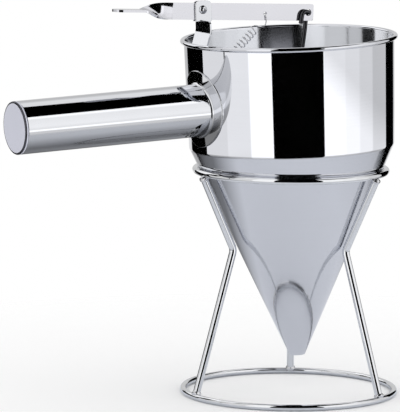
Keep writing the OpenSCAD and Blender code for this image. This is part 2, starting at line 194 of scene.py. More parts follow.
# %% A lathe
def lathe(bm, outline, steps, closed=False):
    """Spins an outline of (radius, height) points about the Z axis, and returns the new faces."""
    old = set(bm.faces)
    verts = [bm.verts.new((r, 0, z)) for r, z in outline]
    edges = [bm.edges.new(pair) for pair in zip(verts, verts[1:])]
    if closed:
        edges.append(bm.edges.new((verts[-1], verts[0])))
    bmesh.ops.spin(bm, geom=verts + edges, cent=(0, 0, 0), axis=(0, 0, 1), angle=2 * math.pi,
                   steps=steps, use_merge=True)
    return [f for f in bm.faces if f not in old]


# %% A wire bender
def bend_wire(bm, path, radius, sides):
    """Carries a round section along a path of close points. Both ends are a little domed."""
    count = len(path)
    ways = [(path[min(i + 1, count - 1)] - path[max(i - 1, 0)]).normalized() for i in range(count)]
    dome = [(0.0, 0.7), (0.3, 1.0)]
    ring = bmesh.ops.create_circle(
        bm, cap_ends=True, segments=sides, radius=radius * dome[0][1],
        matrix=Matrix.Translation(path[0]) @ ways[0].to_track_quat("Z", "Y").to_matrix().to_4x4())["verts"]
    edges = [e for e in bm.edges if e.verts[0] in ring and e.verts[1] in ring]
    stations = [(path[0], ways[0], dome[0][1]), (path[0] + ways[0] * radius * dome[1][0], ways[0], 1.0)]
    stations += [(path[i], ways[i], 1.0) for i in range(1, count - 1)]
    stations += [(path[-1] - ways[-1] * radius * dome[1][0], ways[-1], 1.0), (path[-1], ways[-1], dome[0][1])]
    for (here, way, size), (there, next_way, next_size) in zip(stations, stations[1:]):
        new = bmesh.ops.extrude_edge_only(bm, edges=edges)["geom"]
        ring = [g for g in new if isinstance(g, bmesh.types.BMVert)]
        edges = [e for e in new if isinstance(e, bmesh.types.BMEdge)
                 and e.verts[0] in ring and e.verts[1] in ring]
        bmesh.ops.translate(bm, vec=there - here, verts=ring)
        bmesh.ops.rotate(bm, cent=there, matrix=way.rotation_difference(next_way).to_matrix(), verts=ring)
        if next_size != size:
            bmesh.ops.scale(bm, vec=Vector((1, 1, 1)) * next_size / size,
                            space=Matrix.Translation(-there), verts=ring)
    bmesh.ops.edgeloop_fill(bm, edges=edges)


# %% [markdown]
# ## Finishing and dressing a piece
# A finished piece has its doubles merged and its faces turned outwards, and its place is in its mesh, so its
# object stays at the origin. Its sharp edges come from their angle. Dressing it names the body it rides on,
# the steel it is made of and the measured node that it stands for.


# %% Finish and dress
def finish_piece(bm, name, place=UPRIGHT, sharp=38, flat=False):
    """Makes an object of a shape drawn in millimetres. Flat faces get straight normals up to their bevels."""
    bmesh.ops.remove_doubles(bm, verts=bm.verts, dist=0.0005)
    bmesh.ops.recalc_face_normals(bm, faces=bm.faces)
    bmesh.ops.transform(bm, matrix=Matrix.Scale(MM, 4) @ place, verts=bm.verts)
    mesh = bpy.data.meshes.new(name)
    bm.to_mesh(mesh)
    bm.free()
    mesh.shade_smooth()
    mesh.set_sharp_from_angle(angle=math.radians(sharp))
    piece = bpy.data.objects.new(name, mesh)
    bpy.context.scene.collection.objects.link(piece)
    if flat:
        piece.modifiers.new("straight_normals", "WEIGHTED_NORMAL").keep_sharp = True
    return piece


def dress(piece, body, slot, node, *steels):
    """Puts a piece on its body, gives it its steels and hides the node that it stands for."""
    for steel in steels:
        piece.data.materials.append(steel)
    if body:
        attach(piece, body)
    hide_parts(node)
    size = [round(x / MM, 1) for x in piece.dimensions]
    print(piece.name, "of", len(piece.data.polygons), "faces,", size, "mm")


# %% [markdown]
# ## What polished steel is made of
# A mirror has hardly a colour of its own, so its looks come from three things: the grain that the last
# polishing wheel left, shallow waves of the sheet, and smudges that make it a little duller in places. One
# helper builds all of them on Object coordinates. A Mapping node first undoes the lean and centres the
# pattern, and a second one stretches the noise into lines. Numbers that are the same all over, such as
# Metallic, are set on the shader itself.


# %% A helper for node trees
def node(tree, kind, inputs=(), **settings):
    """Adds a node, sets its properties, and sets or links its inputs by name or number."""
    made = tree.nodes.new(kind)
    for key, value in settings.items():
        setattr(made, key, value)
    for key, value in dict(inputs).items():
        if isinstance(value, bpy.types.NodeSocket):
            tree.links.new(value, made.inputs[key])
        else:
            made.inputs[key].default_value = value
    return made


def own_axes(tree, place):
    """Object coordinates in the axes that the piece was drawn in, in metres."""
    undone = (Matrix.Scale(MM, 4) @ place @ Matrix.Scale(1 / MM, 4)).inverted()
    where = node(tree, "ShaderNodeTexCoord").outputs["Object"]
    return node(tree, "ShaderNodeMapping", {
        "Vector": where, "Location": undone.to_translation(), "Rotation": undone.to_euler()}).outputs[0]


# %% The helper for all steels
def steel(name, colour, rough, grain, grain_depth, wave_depth=0.0, place=UPRIGHT, anisotropic=0.0,
          smudge=0.03, wave_scale=18, tip=0.0):
    """Steel with grain lines, waves and smudges. grain stretches the noise, tip turns the normals up."""
    made = bpy.data.materials.new(name)
    made.use_nodes = True
    tree = made.node_tree
    tree.nodes.clear()
    where = own_axes(tree, place)
    stretched = node(tree, "ShaderNodeMapping", {"Vector": where, "Scale": grain})
    lines = node(tree, "ShaderNodeTexNoise", {
        "Vector": stretched.outputs[0], "Scale": 1.0, "Detail": 3.0, "Roughness": 0.6})
    clouds = node(tree, "ShaderNodeTexNoise", {
        "Vector": where, "Scale": 32.0, "Detail": 4.0, "Roughness": 0.55, "Distortion": 0.4})
    waves = node(tree, "ShaderNodeTexNoise", {
        "Vector": where, "Scale": wave_scale, "Detail": 0.0})
    tint = node(tree, "ShaderNodeMix", {
        0: clouds.outputs[0], 6: (*[c * 0.955 for c in colour], 1), 7: (*colour, 1)}, data_type="RGBA")
    shade = node(tree, "ShaderNodeMix", {
        0: lines.outputs[0], 6: (0.965, 0.965, 0.965, 1), 7: (1, 1, 1, 1)}, data_type="RGBA")
    colours = node(tree, "ShaderNodeMix", {
        0: 1.0, 6: tint.outputs[2], 7: shade.outputs[2]}, data_type="RGBA", blend_type="MULTIPLY")
    dull = node(tree, "ShaderNodeMapRange", {
        0: clouds.outputs[0], 1: 0.35, 2: 0.75, 3: rough, 4: rough + smudge})
    streaks = node(tree, "ShaderNodeMath", {
        0: lines.outputs[0], 1: smudge, 2: dull.outputs[0]}, operation="MULTIPLY_ADD")
    wavy = node(tree, "ShaderNodeBump", {
        "Height": waves.outputs[0], "Strength": 1.0, "Distance": wave_depth})
    if tip:
        height = node(tree, "ShaderNodeSeparateXYZ", {0: where}).outputs[2]
        tipped = node(tree, "ShaderNodeBump", {"Height": height, "Strength": 1.0, "Distance": tip},
                      invert=True)
        tree.links.new(tipped.outputs[0], wavy.inputs["Normal"])
    scratched = node(tree, "ShaderNodeBump", {
        "Height": lines.outputs[0], "Strength": 1.0, "Distance": grain_depth,
        "Normal": wavy.outputs[0]})
    shader = node(tree, "ShaderNodeBsdfPrincipled", {
        "Base Color": colours.outputs[2], "Metallic": 1.0, "Roughness": streaks.outputs[0],
        "Normal": scratched.outputs[0], "Anisotropic": anisotropic})
    if anisotropic:
        round_axis = node(tree, "ShaderNodeTangent", direction_type="RADIAL", axis="Z")
        tree.links.new(round_axis.outputs[0], shader.inputs["Tangent"])
        shader.inputs["Anisotropic Rotation"].default_value = 0.25
    node(tree, "ShaderNodeOutputMaterial", {"Surface": shader.outputs[0]})
    return made


# %% [markdown]
# ## The bowl
# A spinner presses one disc of sheet over a turned former. The wall is then polished outside, the cone is
# left satin, and the inside shows fine level lines from the wheel. In Blender the profile is spun in two
# halves, so that each half's faces are known and can get their own finish: first everything that shows from
# outside, up over the rolled rim, and then the inside from the rim down to the outlet.

# %% Draw the bowl's two half profiles
ROLL_C = (RIM_D / 2 - ROLL_D / 2, RIM_TOP - ROLL_D / 2)
ROLL_END = -108
BEND_R = 5.0
middle = -(CONE + DRAFT) / 2
reach = BEND_R / math.cos((CONE - DRAFT) / 2)
BEND_C = (outside_radius(BEND_Z) - reach * math.cos(middle), BEND_Z - reach * math.sin(middle))
cone_deg, draft_deg = math.degrees(CONE), math.degrees(DRAFT)


def on_outside(z):
    """A point of the sheet's outside."""
    return (outside_radius(z), z)


def on_inside(z):
    """A point of the sheet's inside."""
    return (inside_radius(z), z)


mouth = [(OUTLET_R - SHEET / math.cos(CONE) / 2, OUTLET_Z), (OUTLET_R - 0.15, OUTLET_Z + 0.02)]
bend_out = arc(BEND_C, BEND_R, -cone_deg, -draft_deg, 14)
curl = arc(ROLL_C, ROLL_D / 2 - SHEET, 180, ROLL_END, 24)
lip_c = ((ROLL_D / 2 - SHEET / 2) * math.cos(math.radians(ROLL_END)) + ROLL_C[0],
         (ROLL_D / 2 - SHEET / 2) * math.sin(math.radians(ROLL_END)) + ROLL_C[1])
lip = arc(lip_c, SHEET / 2, ROLL_END - 180, ROLL_END, 6)[1:-1]
over = arc(ROLL_C, ROLL_D / 2, ROLL_END, 180, 36)
outside_half = (mouth + [on_outside(z) for z in (25.6, 26.4, 60, 110, 150, 166.2, 166.6)] + bend_out
                + [on_outside(z) for z in (169.4, 170, 190, 215, 236, 238.9, 239.2)] + curl + lip + over)
bend_in = arc(BEND_C, BEND_R - SHEET, -draft_deg, -cone_deg, 14)
inside_half = ([over[-1]] + [on_inside(z) for z in (239.1, 238.6, 215, 190, 170, 169.4)] + bend_in
               + [on_inside(z) for z in (166.2, 150, 110, 60, 26.2, 25.5)] + [mouth[0]])
print("outside of", len(outside_half), "points, inside of", len(inside_half))

# %% [markdown]
# The wall's mirror has almost no grain. The satin of the cone is the same sheet with a duller polish, so one
# material makes both, and a ramp over the height in the bowl's own axes changes the roughness at the bend.
# The inside is brushed round and round, so it scatters light up and down and hardly sideways. Its grooves
# are fine steps that face about 17 degrees upwards. They are too small to model, so a tipped normal stands
# for them.

# %% Steels of the bowl
BOWL_TINT = (0.72, 0.73, 0.77)
wall_polish = steel("wall_polish", BOWL_TINT, 0.02, (5, 5, 900), 0.0000015, 0.00004, LEANED,
                    smudge=0.012, wave_scale=9)
tree = wall_polish.node_tree
heights = node(tree, "ShaderNodeSeparateXYZ", {0: own_axes(tree, LEANED)})
satin = node(tree, "ShaderNodeMapRange", {
    0: heights.outputs[2], 1: 0.1685, 2: 0.1665, 3: 0.0, 4: 0.045})
shader = tree.nodes["Principled BSDF"]
polish = shader.inputs["Roughness"].links[0].from_socket
duller = node(tree, "ShaderNodeMath", {0: polish, 1: satin.outputs[0]}, operation="ADD")
tree.links.new(duller.outputs[0], shader.inputs["Roughness"])
inner_brush = steel("inner_brush", (0.66, 0.675, 0.715), 0.13, (6, 6, 2600), 0.000004, 0.0, LEANED,
                    anisotropic=1.0, smudge=0.02, tip=0.3)
print("steels:", wall_polish.name, inner_brush.name)

# %% Spin the bowl
bm = bmesh.new()
lathe(bm, outside_half, 256)
for face in lathe(bm, inside_half, 256):
    face.material_index = 1
bowl_shell = finish_piece(bm, "bowl_shell", LEANED)
dress(bowl_shell, "funnel", "bowl_steel", "bowl", wall_polish, inner_brush)

# %% [markdown]
# ## The handle
# The handle is a tube that is welded to a pressed flange, and a disc closes its end. The flange is the hard
# part: its foot follows the drafted wall, which is a saddle line, and its face flares into the round tube. It
# is spun flat about the handle's axis, and then each of its points is moved out to the wall's own radius.

# %% Sizes of the handle
HANDLE_R = 17.4
HANDLE_Z = 196.9
HANDLE_END = 203.5
TUBE_WALL = 1.0
FLANGE_R = 25.5
FLANGE_T = 0.9
FLANGE_RISE = 0.8
FLARE = 1.6
CAP_T = 2.0
TUBE_START = outside_radius(HANDLE_Z + HANDLE_R) + FLANGE_T + FLARE + 0.3
bore = HANDLE_R - TUBE_WALL
along_handle = LEANED @ Matrix.Translation((0, 0, HANDLE_Z)) @ Matrix.Rotation(-math.pi / 2, 4, "Y")
print("tube from", round(TUBE_START, 1), "mm out, bore", 2 * bore, "mm")

# %% [markdown]
# The underside of a handle mirrors the dim side of a room, which a plain studio doesn't have. A ramp over the
# height across the tube therefore paints that dim reflection into the steel's own colour, darker towards the
# underside: painted shade. The end disc is brushed so dull that it looks half like paint, which a lower
# Metallic gives, and its rounding is painted almost black, a painted dark reflection.

# %% Steels of the handle
handle_polish = steel("handle_polish", (0.74, 0.75, 0.78), 0.03, (260, 700, 12), 0.0000012, 0.00003,
                      along_handle, smudge=0.02)
tree = handle_polish.node_tree
height = node(tree, "ShaderNodeSeparateXYZ", {0: own_axes(tree, along_handle)})
# Painted dark reflection: the steel's own colour is darkened towards the underside of the tube.
underside_shade_ramp = node(tree, "ShaderNodeMapRange", {0: height.outputs[0], 1: -0.0125, 2: -0.003, 3: 0.24, 4: 0.97})
shader = tree.nodes["Principled BSDF"]
bright = shader.inputs["Base Color"].links[0].from_socket
painted_dark_underside = node(tree, "ShaderNodeMix", {0: underside_shade_ramp.outputs[0], 6: (0, 0, 0, 1), 7: bright}, data_type="RGBA")
tree.links.new(painted_dark_underside.outputs[2], shader.inputs["Base Color"])
cap_satin = steel("cap_satin", (0.68, 0.69, 0.78), 0.5, (1500, 60, 60), 0.000004, 0.0, along_handle)
cap_satin.node_tree.nodes["Principled BSDF"].inputs["Metallic"].default_value = 0.3
# A near-black steel for the end disc's rounding: a painted dark reflection.
cap_rim_painted_dark = steel("cap_rim_painted_dark", (0.10, 0.10, 0.12), 0.2, (400, 400, 400), 0.000004, 0.0, along_handle)
print("steels:", handle_polish.name, cap_satin.name, cap_rim_painted_dark.name)

# %% Spin the flange and fit it to the wall
bm = bmesh.new()
foot = [(bore + (FLANGE_R - bore) * i / 6, 0.03) for i in range(7)]
edge = [(FLANGE_R, 0.3)] + arc((FLANGE_R - 0.4, FLANGE_T - 0.4), 0.4, 0, 90, 5)
inside = HANDLE_R + FLARE
face = [(FLANGE_R - 0.6, FLANGE_T), ((FLANGE_R + inside) / 2, FLANGE_T), (inside + 0.15, FLANGE_T)]
flare = arc((inside, FLANGE_T + FLARE), FLARE, 270, 180, 10)
neck = [(HANDLE_R, FLANGE_T + FLARE + 0.15), (HANDLE_R, TUBE_START), (bore, TUBE_START)]
lathe(bm, foot + edge + face + flare + neck, 160, closed=True)
for vert in bm.verts:
    y, z, rise = vert.co.y, HANDLE_Z - vert.co.x, vert.co.z
    if rise < TUBE_START - 1:
        share = max(0, math.hypot(vert.co.x, y) - inside) / (FLANGE_R - inside)
        z += FLANGE_RISE * share
        rise += math.sqrt(outside_radius(z) ** 2 - y ** 2)
    vert.co = (-rise, y, z)
flange = finish_piece(bm, "flange", LEANED)
dress(flange, "funnel", "handle_steel", "handle_flange", handle_polish)

# %% Spin the tube and its end disc
bm = bmesh.new()
lathe(bm, [(bore, TUBE_START), (HANDLE_R, TUBE_START), (HANDLE_R, HANDLE_END - CAP_T - 0.5),
           (HANDLE_R, HANDLE_END - CAP_T - 0.25), (HANDLE_R - 0.07, HANDLE_END - CAP_T - 0.07),
           (HANDLE_R - 0.25, HANDLE_END - CAP_T), (bore, HANDLE_END - CAP_T)], 160, closed=True)
tube = finish_piece(bm, "handle_sleeve", along_handle)
dress(tube, "funnel", "handle_steel", "handle_tube", handle_polish)

bm = bmesh.new()
base = HANDLE_END - CAP_T
lathe(bm, [(0, base), (HANDLE_R - 0.3, base), (HANDLE_R - 0.08, base + 0.08), (HANDLE_R, base + 0.3)]
      + arc((HANDLE_R - 1, HANDLE_END - 1), 1, 0, 90, 10)
      + [(HANDLE_R - 1.3, HANDLE_END), (8, HANDLE_END), (0, HANDLE_END)], 160)
# The faces of the rounding take the painted dark reflection.
for face in bm.faces:
    away = face.calc_center_median()
    face.material_index = int(away.xy.length > HANDLE_R - 1.25 and away.z > HANDLE_END - 1)
end_disc = finish_piece(bm, "end_disc", along_handle)
dress(end_disc, "funnel", "cap_steel", "handle_end_cap", cap_satin, cap_rim_painted_dark)

# %% [markdown]
# ## The stand
# Two rings and three legs of round wire, resistance welded and then chromed. A ring is a circle that is spun
# about the stand's axis. A leg is one rod with one bend, so it is bent from a path. Chrome is brighter and
# smoother than the steel under it, and the weld beads keep a rough skin.

# %% Steels of the stand
chrome = steel("chrome", (0.78, 0.79, 0.81), 0.025, (300, 300, 300), 0.000001, 0.000015, smudge=0.02,
               wave_scale=60)
weld_skin = steel("weld_skin", (0.72, 0.72, 0.74), 0.12, (700, 700, 700), 0.00002, 0.0002, smudge=0.12,
                  wave_scale=420)

# %% Spin the two rings
RING_WIRE = 4.3
BASE_R = 71.0
SEAT_R = outside_radius(SEAT_Z) + (RING_WIRE / 2 + 0.3) / math.cos(CONE)
for name, measured, radius, z in (("foot_ring", "base_ring", BASE_R, RING_WIRE / 2),
                                  ("cone_ring", "seat_ring", SEAT_R, SEAT_Z)):
    bm = bmesh.new()
    lathe(bm, arc((radius, z), RING_WIRE / 2, 0, 360, 28)[:-1], 240, closed=True)
    dress(finish_piece(bm, name), "stand", "stand_chrome", measured, chrome)

# %% Bend the three legs
LEG_R = 2.5
FOOT = Vector((BASE_R - 0.9, 0, RING_WIRE))
KNEE = Vector((43, 0, 99.4))
LEG_TOP = Vector((SEAT_R + 2, 0, SEAT_Z - RING_WIRE / 2))
leg_path = bent([FOOT + (FOOT - KNEE).normalized() * 0.8, KNEE,
                 LEG_TOP + (LEG_TOP - KNEE).normalized() * 1.2], [7])
for name, measured, turn in (("leg_back", "leg_handle_side", 180), ("leg_far", "leg_left", 60),
                             ("leg_near", "leg_right", -60)):
    bm = bmesh.new()
    bend_wire(bm, leg_path, LEG_R, 32)
    leg = finish_piece(bm, name, Matrix.Rotation(math.radians(turn), 4, "Z"))
    dress(leg, "stand", "stand_chrome", measured, chrome)

# %% [markdown]
# A weld bead is a frozen drop, squeezed out between two wires. A sphere with a little noise in its radius
# looks more like one than any drawn shape, and the noise has a fixed seed, so each run gives the same drops.


# %% Set the weld beads
def weld_beads(name, measured, spot, way):
    """Three beads at one end of the legs, flattened along the leg."""
    bm = bmesh.new()
    for turn in (180, 60, -60):
        made = bmesh.ops.create_icosphere(bm, subdivisions=4, radius=3.3)["verts"]
        for vert in made:
            seed = vert.co * 0.42 + Vector((turn, 7, 3))
            vert.co *= 1 + 0.10 * (noise.noise(seed) - 0.35)
        tilt = way.to_track_quat("Z", "Y").to_matrix().to_4x4()
        place = (Matrix.Rotation(math.radians(turn), 4, "Z") @ Matrix.Translation(spot) @ tilt
                 @ Matrix.Diagonal((1, 1, 0.72, 1)))
        bmesh.ops.transform(bm, matrix=place, verts=made)
    dress(finish_piece(bm, name), "stand", "stand_chrome", measured, weld_skin)


weld_beads("foot_beads", "base_welds", FOOT, (FOOT - KNEE).normalized())
weld_beads("ring_beads", "seat_welds", LEG_TOP + Vector((-0.4, 0, -0.6)), (LEG_TOP - KNEE).normalized())

# %% [markdown]
# ## The lever
# A real one is a straight strip with a round end and three holes, clamped in a vice and given a quarter turn.
# The model is made the same way: the flat outline is filled, thickened and bevelled while it is upright. A
# triangle fill leaves the holes open. Then slices are cut where the twist goes and lines along the strip, so
# that the twisted part is a net of small faces, and every point past the twist's start is turned about the
# strip's own middle line. The turn lags a little halfway. The face that looks at the camera turns upwards.

# %% Sizes and places of the lever
PIVOT = (-(RIM_D / 2 - 7.4), RIM_TOP + 22.5)
SLOPE = math.radians(4.8)
LEVER_W = 11.0
LEVER_T = 1.6
MIDDLE = -1.3
TWIST = (21.5, 43.2)
THUMB = 65.0
ROD_HOLE = (80.3, MIDDLE)
SPRING_HOLE = (47.5, MIDDLE - 1)
PIVOT_HOLE_R = 1.55
lever_place = LEANED @ Matrix.Translation((PIVOT[0], 0, PIVOT[1])) @ Matrix.Rotation(SLOPE, 4, "Y")


def on_lever(s, height):
    """A point of the strip as X and Z, s from the pivot towards the rod."""
    return (PIVOT[0] + s * math.cos(SLOPE) + height * math.sin(SLOPE),
            PIVOT[1] - s * math.sin(SLOPE) + height * math.cos(SLOPE))


lever_polish = steel("lever_polish", (0.69, 0.69, 0.73), 0.06, (25, 900, 900), 0.0000015, 0.00002,
                     lever_place, smudge=0.03)


# %% Helpers for cut sheet
def closed_loop(bm, points, place=lambda a, b: (a, 0, b)):
    """A ring of edges through points of a plane."""
    verts = [bm.verts.new(place(*p)) for p in points]
    return [bm.edges.new((a, b)) for a, b in zip(verts, verts[1:] + verts[:1])]


def thicken(bm, faces, way):
    """Turns flat faces into a solid by a translation."""
    grown = bmesh.ops.extrude_face_region(bm, geom=faces, use_keep_orig=True)["geom"]
    bmesh.ops.translate(bm, vec=way, verts=[g for g in grown if isinstance(g, bmesh.types.BMVert)])
    bmesh.ops.recalc_face_normals(bm, faces=bm.faces)


def soften(bm, size, segments=3, least=50):
    """Bevels all edges that are sharper than an angle."""
    edges = [e for e in bm.edges if len(e.link_faces) == 2 and e.calc_face_angle() > math.radians(least)]
    bmesh.ops.bevel(bm, geom=edges, offset=size, offset_type="OFFSET", affect="EDGES", segments=segments,
                    profile=0.5, material=-1, clamp_overlap=True)


# %% Cut and bevel the lever
bm = bmesh.new()
half = LEVER_W / 2
low, high, end = MIDDLE - half, MIDDLE + half, ROD_HOLE[0] + 3.9
outline = (arc((half - THUMB, MIDDLE), half, 90, 270, 28) + arc((end - 1.2, low + 1.2), 1.2, -90, 0, 6)
           + arc((end - 1.2, high - 1.2), 1.2, 0, 90, 6))
rings = closed_loop(bm, outline)
for centre, radius in (((0, 0), PIVOT_HOLE_R), (SPRING_HOLE, 1.2), (ROD_HOLE, 2.3)):
    rings += closed_loop(bm, arc(centre, radius, 0, 360, 28)[:-1])
bmesh.ops.triangle_fill(bm, use_beauty=True, use_dissolve=False, edges=rings)
bmesh.ops.translate(bm, vec=(0, -LEVER_T / 2, 0), verts=bm.verts)
thicken(bm, bm.faces[:], (0, LEVER_T, 0))
soften(bm, 0.28)
print("flat strip of", len(bm.faces), "faces")

# %% Twist it
SLICES = 40
cuts = [((-TWIST[0] - (TWIST[1] - TWIST[0]) * i / SLICES, 0, 0), (1, 0, 0)) for i in range(-1, SLICES + 2)]
cuts += [((0, 0, MIDDLE + half * i / 4), (0, 0, 1)) for i in range(-3, 4)]
for point, way in cuts:
    bmesh.ops.bisect_plane(bm, geom=bm.verts[:] + bm.edges[:] + bm.faces[:], plane_co=point, plane_no=way,
                           dist=1e-5)
about = Matrix.Translation((0, 0, MIDDLE))
LATE = 0.09
for vert in bm.verts:
    share = min(max((-vert.co.x - TWIST[0]) / (TWIST[1] - TWIST[0]), 0), 1)
    share -= LATE * math.sin(math.pi * share) ** 2
    vert.co = about @ Matrix.Rotation(-share * math.pi / 2, 4, "X") @ about.inverted() @ vert.co
lever_strip = finish_piece(bm, "lever_strip", lever_place, sharp=50, flat=True)
dress(lever_strip, "lever", "lever_steel", "lever", lever_polish)

# %% [markdown]
# ## The bracket
# One pressing carries everything above the rim: a pad on the inner wall, a flat stem that leans inwards over
# the rim and ends upright, two ears beside the lever, and a lug for the spring. Each flat part is an outline
# that is thickened and bevelled. The pad is a short spin about the bowl's axis, so it lies on the wall all
# over, and the stem is bent by moving its cross lines. The shears leave the edges of the ears matt, so those
# faces get a steel of their own, which is mostly not metal in the shader's terms.

# %% Sizes and steels of the bracket
EAR_T = 1.2
EAR_GAP = LEVER_T / 2 + 0.35
EAR_OUT = EAR_GAP + EAR_T
PAD_Z = (RIM_TOP - 31.4, RIM_TOP - 4)
EAR_TOP = PIVOT[1] + 5.8
STEM_TOP = PIVOT[1] + MIDDLE - LEVER_W / 2 - 0.6
STEM_FOOT = inside_radius(RIM_TOP) - 1.1
STEM_X = -PIVOT[0] - 0.7
LUG_ROOT = inside_radius(PAD_Z[0]) - 0.4
LUG_TIP = LUG_ROOT - 10.8
LUG_EYE = LUG_TIP + 4.5
pressed = steel("pressed_sheet", (0.70, 0.71, 0.74), 0.05, (60, 60, 1100), 0.000002, 0.00003, LEANED,
                smudge=0.04)
sheared = steel("sheared_edge", (0.86, 0.86, 0.88), 0.5, (900, 900, 900), 0.00001, 0.0, LEANED, smudge=0.1)
sheared.node_tree.nodes["Principled BSDF"].inputs["Metallic"].default_value = 0.2
print("ears up to", round(EAR_TOP, 1), "mm, stem up to", round(STEM_TOP, 1), "mm")


# %% Helpers for pressed parts
def add_to(bm, part):
    """Moves a finished part of a piece into the piece."""
    mesh = bpy.data.meshes.new("part")
    part.to_mesh(mesh)
    part.free()
    bm.from_mesh(mesh)
    bpy.data.meshes.remove(mesh)


def cut_sheet(bm, outline, place, way, hole):
    """Adds an outline with a hole, in a plane, thickened and bevelled. Its edges get the second steel."""
    part = bmesh.new()
    rings = closed_loop(part, outline, place) + closed_loop(part, hole, place)
    bmesh.ops.triangle_fill(part, use_beauty=True, use_dissolve=False, edges=rings)
    thicken(part, part.faces[:], way)
    for face in part.faces:
        face.material_index = int(abs(face.normal.dot(Vector(way).normalized())) < 0.5)
    soften(part, 0.25)
    add_to(bm, part)


# %% Spin the pad on the wall
bm = bmesh.new()
pad = bmesh.new()
section = [(inside_radius(z) - d, z) for z, d in
           ((PAD_Z[0], EAR_T), (PAD_Z[0], 0.02), (PAD_Z[1], 0.02), (PAD_Z[1], EAR_T))]
start = pad.faces.new([pad.verts.new((-r, 0, z)) for r, z in section])
PAD_TURN = math.radians(8.7)
bmesh.ops.rotate(pad, verts=pad.verts, cent=(0, 0, 0), matrix=Matrix.Rotation(-PAD_TURN, 3, "Z"))
bmesh.ops.spin(pad, geom=[start, *start.edges, *start.verts], cent=(0, 0, 0), axis=(0, 0, 1),
               angle=2 * PAD_TURN, steps=16, use_merge=False)
bmesh.ops.holes_fill(pad, edges=pad.edges, sides=4)
bmesh.ops.recalc_face_normals(pad, faces=pad.faces)
soften(pad, 0.3)
add_to(bm, pad)

# %% Bend the stem
STEM_HALF = 10.3
stem = bmesh.new()
stem_outline = ([(-STEM_HALF, RIM_TOP - 8), (STEM_HALF, RIM_TOP - 8)]
                + arc((STEM_HALF - 3, STEM_TOP - 3), 3, 0, 90, 10)
                + arc((3 - STEM_HALF, STEM_TOP - 3), 3, 90, 180, 10))
rings = closed_loop(stem, stem_outline, lambda a, b: (0, a, b))
bmesh.ops.triangle_fill(stem, use_beauty=True, use_dissolve=False, edges=rings)
thicken(stem, stem.faces[:], (EAR_T, 0, 0))
soften(stem, 0.25)
BEND_LOW, BEND_HIGH, ROUND = RIM_TOP - 3, RIM_TOP + 8, 1.6
for height in [b + ROUND * i / 4 for b in (BEND_LOW, BEND_HIGH) for i in range(-4, 5)]:
    bmesh.ops.bisect_plane(stem, geom=stem.verts[:] + stem.edges[:] + stem.faces[:], plane_co=(0, 0, height),
                           plane_no=(0, 0, 1), dist=1e-5)
TILT = (STEM_FOOT - STEM_X) / (BEND_HIGH - BEND_LOW)


def eased(z, bend):
    """How far z is past a bend, rounded off on both sides of it."""
    past = z - bend
    if abs(past) >= ROUND:
        return max(past, 0)
    return (past + ROUND) ** 2 / (4 * ROUND)


for vert in stem.verts:
    z = vert.co.z
    vert.co.x += -STEM_FOOT + TILT * (eased(z, BEND_LOW) - eased(z, BEND_HIGH))
add_to(bm, stem)

# %% Cut the ears and the lug
front, back = PIVOT[0] + 6.4, PIVOT[0] - 5.4
ear_low = STEM_TOP - 5.5
ear_outline = ([(back, STEM_TOP - 0.2), (0.2 - STEM_X, STEM_TOP - 0.2), (0.2 - STEM_X, ear_low),
                (EAR_T - STEM_X, ear_low), (front, STEM_TOP)]
               + arc((front - 3, EAR_TOP - 3), 3, 0, 90, 10)
               + arc((back + 3, EAR_TOP - 3), 3, 90, 180, 10))
for y in (-EAR_OUT, EAR_GAP):
    cut_sheet(bm, ear_outline, lambda a, b: (a, y, b), (0, EAR_T, 0),
              arc(PIVOT, PIVOT_HOLE_R, 0, 360, 24)[:-1])
lug_outline = [(-LUG_ROOT, -4), (-LUG_TIP - 2, -4), (-LUG_TIP, -2), (-LUG_TIP, 2), (-LUG_TIP - 2, 4),
               (-LUG_ROOT, 4)]
cut_sheet(bm, lug_outline, lambda a, b: (a, b, PAD_Z[0]), (0, 0, EAR_T),
          arc((-LUG_EYE, 0), 1.1, 0, 360, 24)[:-1])
bracket = finish_piece(bm, "ear_bracket", LEANED, flat=True)
dress(bracket, "funnel", "bracket_steel", "lever_bracket", pressed, sheared)

# %% [markdown]
# ## The pivot screw, its washer and its cap nut
# Small turned parts make a mechanism believable. The screw's button head is a spun dome with a six-sided
# socket that is cut by a Boolean, and the cap nut is a bevelled hexagon under a dome. Everything is set out
# along the screw from the middle of the lever. They are too small to show lines, so their grain is even.

# %% Sizes and steel of the fasteners
SHANK_R = 1.5
HEAD_R = 2.85
HEAD_RISE = 1.4
HEAD_TOP = EAR_OUT + 0.3 + HEAD_RISE
NUT_TOP = -EAR_OUT - 0.5
NUT_T = 2.4
NUT_R = 5.5 / 2 / math.cos(math.pi / 6)
on_pivot = LEANED @ Matrix.Translation((PIVOT[0], 0, PIVOT[1])) @ Matrix.Rotation(math.pi / 2, 4, "X")
turned_bright = steel("turned_bright", (0.66, 0.67, 0.70), 0.12, (60, 60, 60), 0.000004, 0.0, on_pivot,
                      smudge=0.08)
print("shank", 2 * SHANK_R, "mm, head", 2 * HEAD_R, "mm across")


# %% A cutting helper
def cut_away(piece, cutter):
    """Cuts one object from another with a Boolean, and applies it."""
    rule = piece.modifiers.new("cut", "BOOLEAN")
    rule.operation = "DIFFERENCE"
    rule.solver = "EXACT"
    rule.object = cutter
    bpy.context.view_layer.update()
    cut = bpy.data.meshes.new_from_object(piece.evaluated_get(bpy.context.evaluated_depsgraph_get()))
    piece.modifiers.clear()
    old = piece.data
    piece.data = cut
    bpy.data.meshes.remove(old)
    bpy.data.objects.remove(cutter)
    piece.data.set_sharp_from_angle(angle=math.radians(38))


